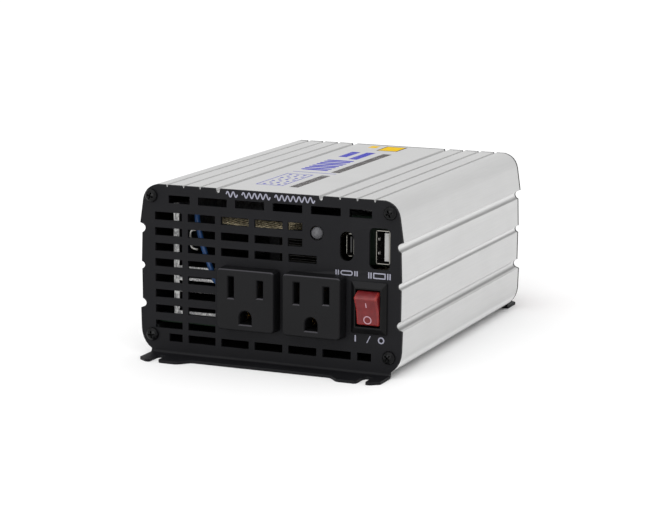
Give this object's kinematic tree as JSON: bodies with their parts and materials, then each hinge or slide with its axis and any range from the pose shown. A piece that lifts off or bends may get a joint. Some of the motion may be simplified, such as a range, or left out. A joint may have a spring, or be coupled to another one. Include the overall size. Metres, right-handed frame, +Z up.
{
  "type": "power inverter",
  "caption": "Compact DC to AC power inverter in a grooved aluminium case with slotted feet, grounded outlets, a rocker switch, charging ports, a rear fan and screw terminals.",
  "frame": {"origin": "centre of the footprint, on the surface that the feet stand on", "axes": "+Y from the outlet panel to the fan panel along the case, +Z up, +X to the right as seen facing the outlets"},
  "size_m": [0.114, 0.178, 0.0703],
  "materials": {
    "aluminium": "fine satin, bead-blasted and clear anodised",
    "panel_black": "matt black powder coat, fine texture",
    "screw_black": "black oxide, semi-gloss",
    "outlet_black": "moulded, fine matt grain",
    "switch_black": "moulded, fine matt grain",
    "rocker_red": "translucent red, semi-gloss",
    "led_lens": "frosted grey",
    "brass": "bright",
    "plated_steel": "nickel plated sheet",
    "port_white": "white moulding",
    "port_black": "black moulding",
    "board_green": "green solder mask on glass laminate",
    "heatsink": "mill finish, ribbed",
    "ferrite": "dark grey sintered",
    "winding_tape": "yellow tape over copper",
    "copper_wire": "enamelled copper",
    "capacitor_sleeve": "dark printed sleeve without print",
    "epoxy": "black moulding",
    "fan_black": "black moulding",
    "terminal_red": "red moulding",
    "terminal_black": "black moulding",
    "wire_blue": "blue insulation",
    "wire_red": "red insulation",
    "wire_black": "black insulation",
    "fuse_green": "translucent green"
  },
  "bodies": {
    "root": {"blade_fuse": "fuse_green", "capacitor_input_1": "capacitor_sleeve", "capacitor_input_2": "capacitor_sleeve", "capacitor_output": "capacitor_sleeve", "contact_ground": "brass", "contact_hot": "brass", "contact_neutral": "brass", "copper_bundle": "copper_wire", "enclosure_extrusion": "aluminium", "fan_frame": "fan_black", "fan_screw_1": "screw_black", "fan_screw_2": "screw_black", "fan_screw_3": "screw_black", "fan_screw_4": "screw_black", "filter_choke": "copper_wire", "front_panel": "panel_black", "front_screw_lower_left": "screw_black", "front_screw_lower_right": "screw_black", "front_screw_upper_left": "screw_black", "front_screw_upper_right": "screw_black", "heatsink": "heatsink", "lead_fan": "wire_black", "lead_hot": "wire_black", "lead_negative": "wire_black", "lead_neutral": "wire_blue", "lead_positive": "wire_red", "main_board": "board_green", "outlet_left": "outlet_black", "outlet_right": "outlet_black", "power_transistor_1": "epoxy", "power_transistor_2": "epoxy", "power_transistor_3": "epoxy", "power_transistor_4": "epoxy", "rear_panel": "panel_black", "rear_screw_lower_left": "screw_black", "rear_screw_lower_right": "screw_black", "rear_screw_upper_left": "screw_black", "rear_screw_upper_right": "screw_black", "status_led": "led_lens", "switch_housing": "switch_black", "switch_spade_1": "plated_steel", "switch_spade_2": "plated_steel", "terminal_insulator_negative": "terminal_black", "terminal_insulator_positive": "terminal_red", "terminal_stud_negative": "brass", "terminal_stud_positive": "brass", "transformer_core": "ferrite", "transformer_winding": "winding_tape", "usb_a_shell": "plated_steel", "usb_a_tongue": "port_white", "usb_board": "board_green", "usb_c_shell": "plated_steel", "usb_c_tongue": "port_black"},
    "rocker": {"switch_rocker": "rocker_red"},
    "fan": {"fan_rotor": "fan_black"},
    "positive_washer": {"terminal_washer_positive": "plated_steel"},
    "positive_knob": {"terminal_knob_positive": "terminal_red"},
    "negative_washer": {"terminal_washer_negative": "plated_steel"},
    "negative_knob": {"terminal_knob_negative": "terminal_black"}
  },
  "joints": [
    {"name": "rocker_press", "type": "hinge", "parent": "root", "child": "rocker", "pos_m": [0.04335, -0.07605, 0.02765], "axis": [-1, 0, 0], "range_deg": [0, 34]},
    {"name": "fan_spin", "type": "hinge", "parent": "root", "child": "fan", "pos_m": [-0.021, 0.05895, 0.0375], "axis": [0, 1, 0], "continuous": true},
    {"name": "positive_washer_travel", "type": "slide", "parent": "root", "child": "positive_washer", "axis": [0, 1, 0], "range_m": [0, 0.00402]},
    {"name": "positive_knob_turn", "type": "hinge", "parent": "positive_washer", "child": "positive_knob", "pos_m": [0.0415, 0.07425, 0.0375], "axis": [0, 1, 0], "range_deg": [0, 1440]},
    {"name": "negative_washer_travel", "type": "slide", "parent": "root", "child": "negative_washer", "axis": [0, 1, 0], "range_m": [0, 0.00402]},
    {"name": "negative_knob_turn", "type": "hinge", "parent": "negative_washer", "child": "negative_knob", "pos_m": [0.0205, 0.07425, 0.0375], "axis": [0, 1, 0], "range_deg": [0, 1440]}
  ],
  "couplings": [
    {"joint": "positive_washer_travel", "follows": "positive_knob_turn", "m_per_rad": 0.00015915},
    {"joint": "negative_washer_travel", "follows": "negative_knob_turn", "m_per_rad": 0.00015915}
  ]
}
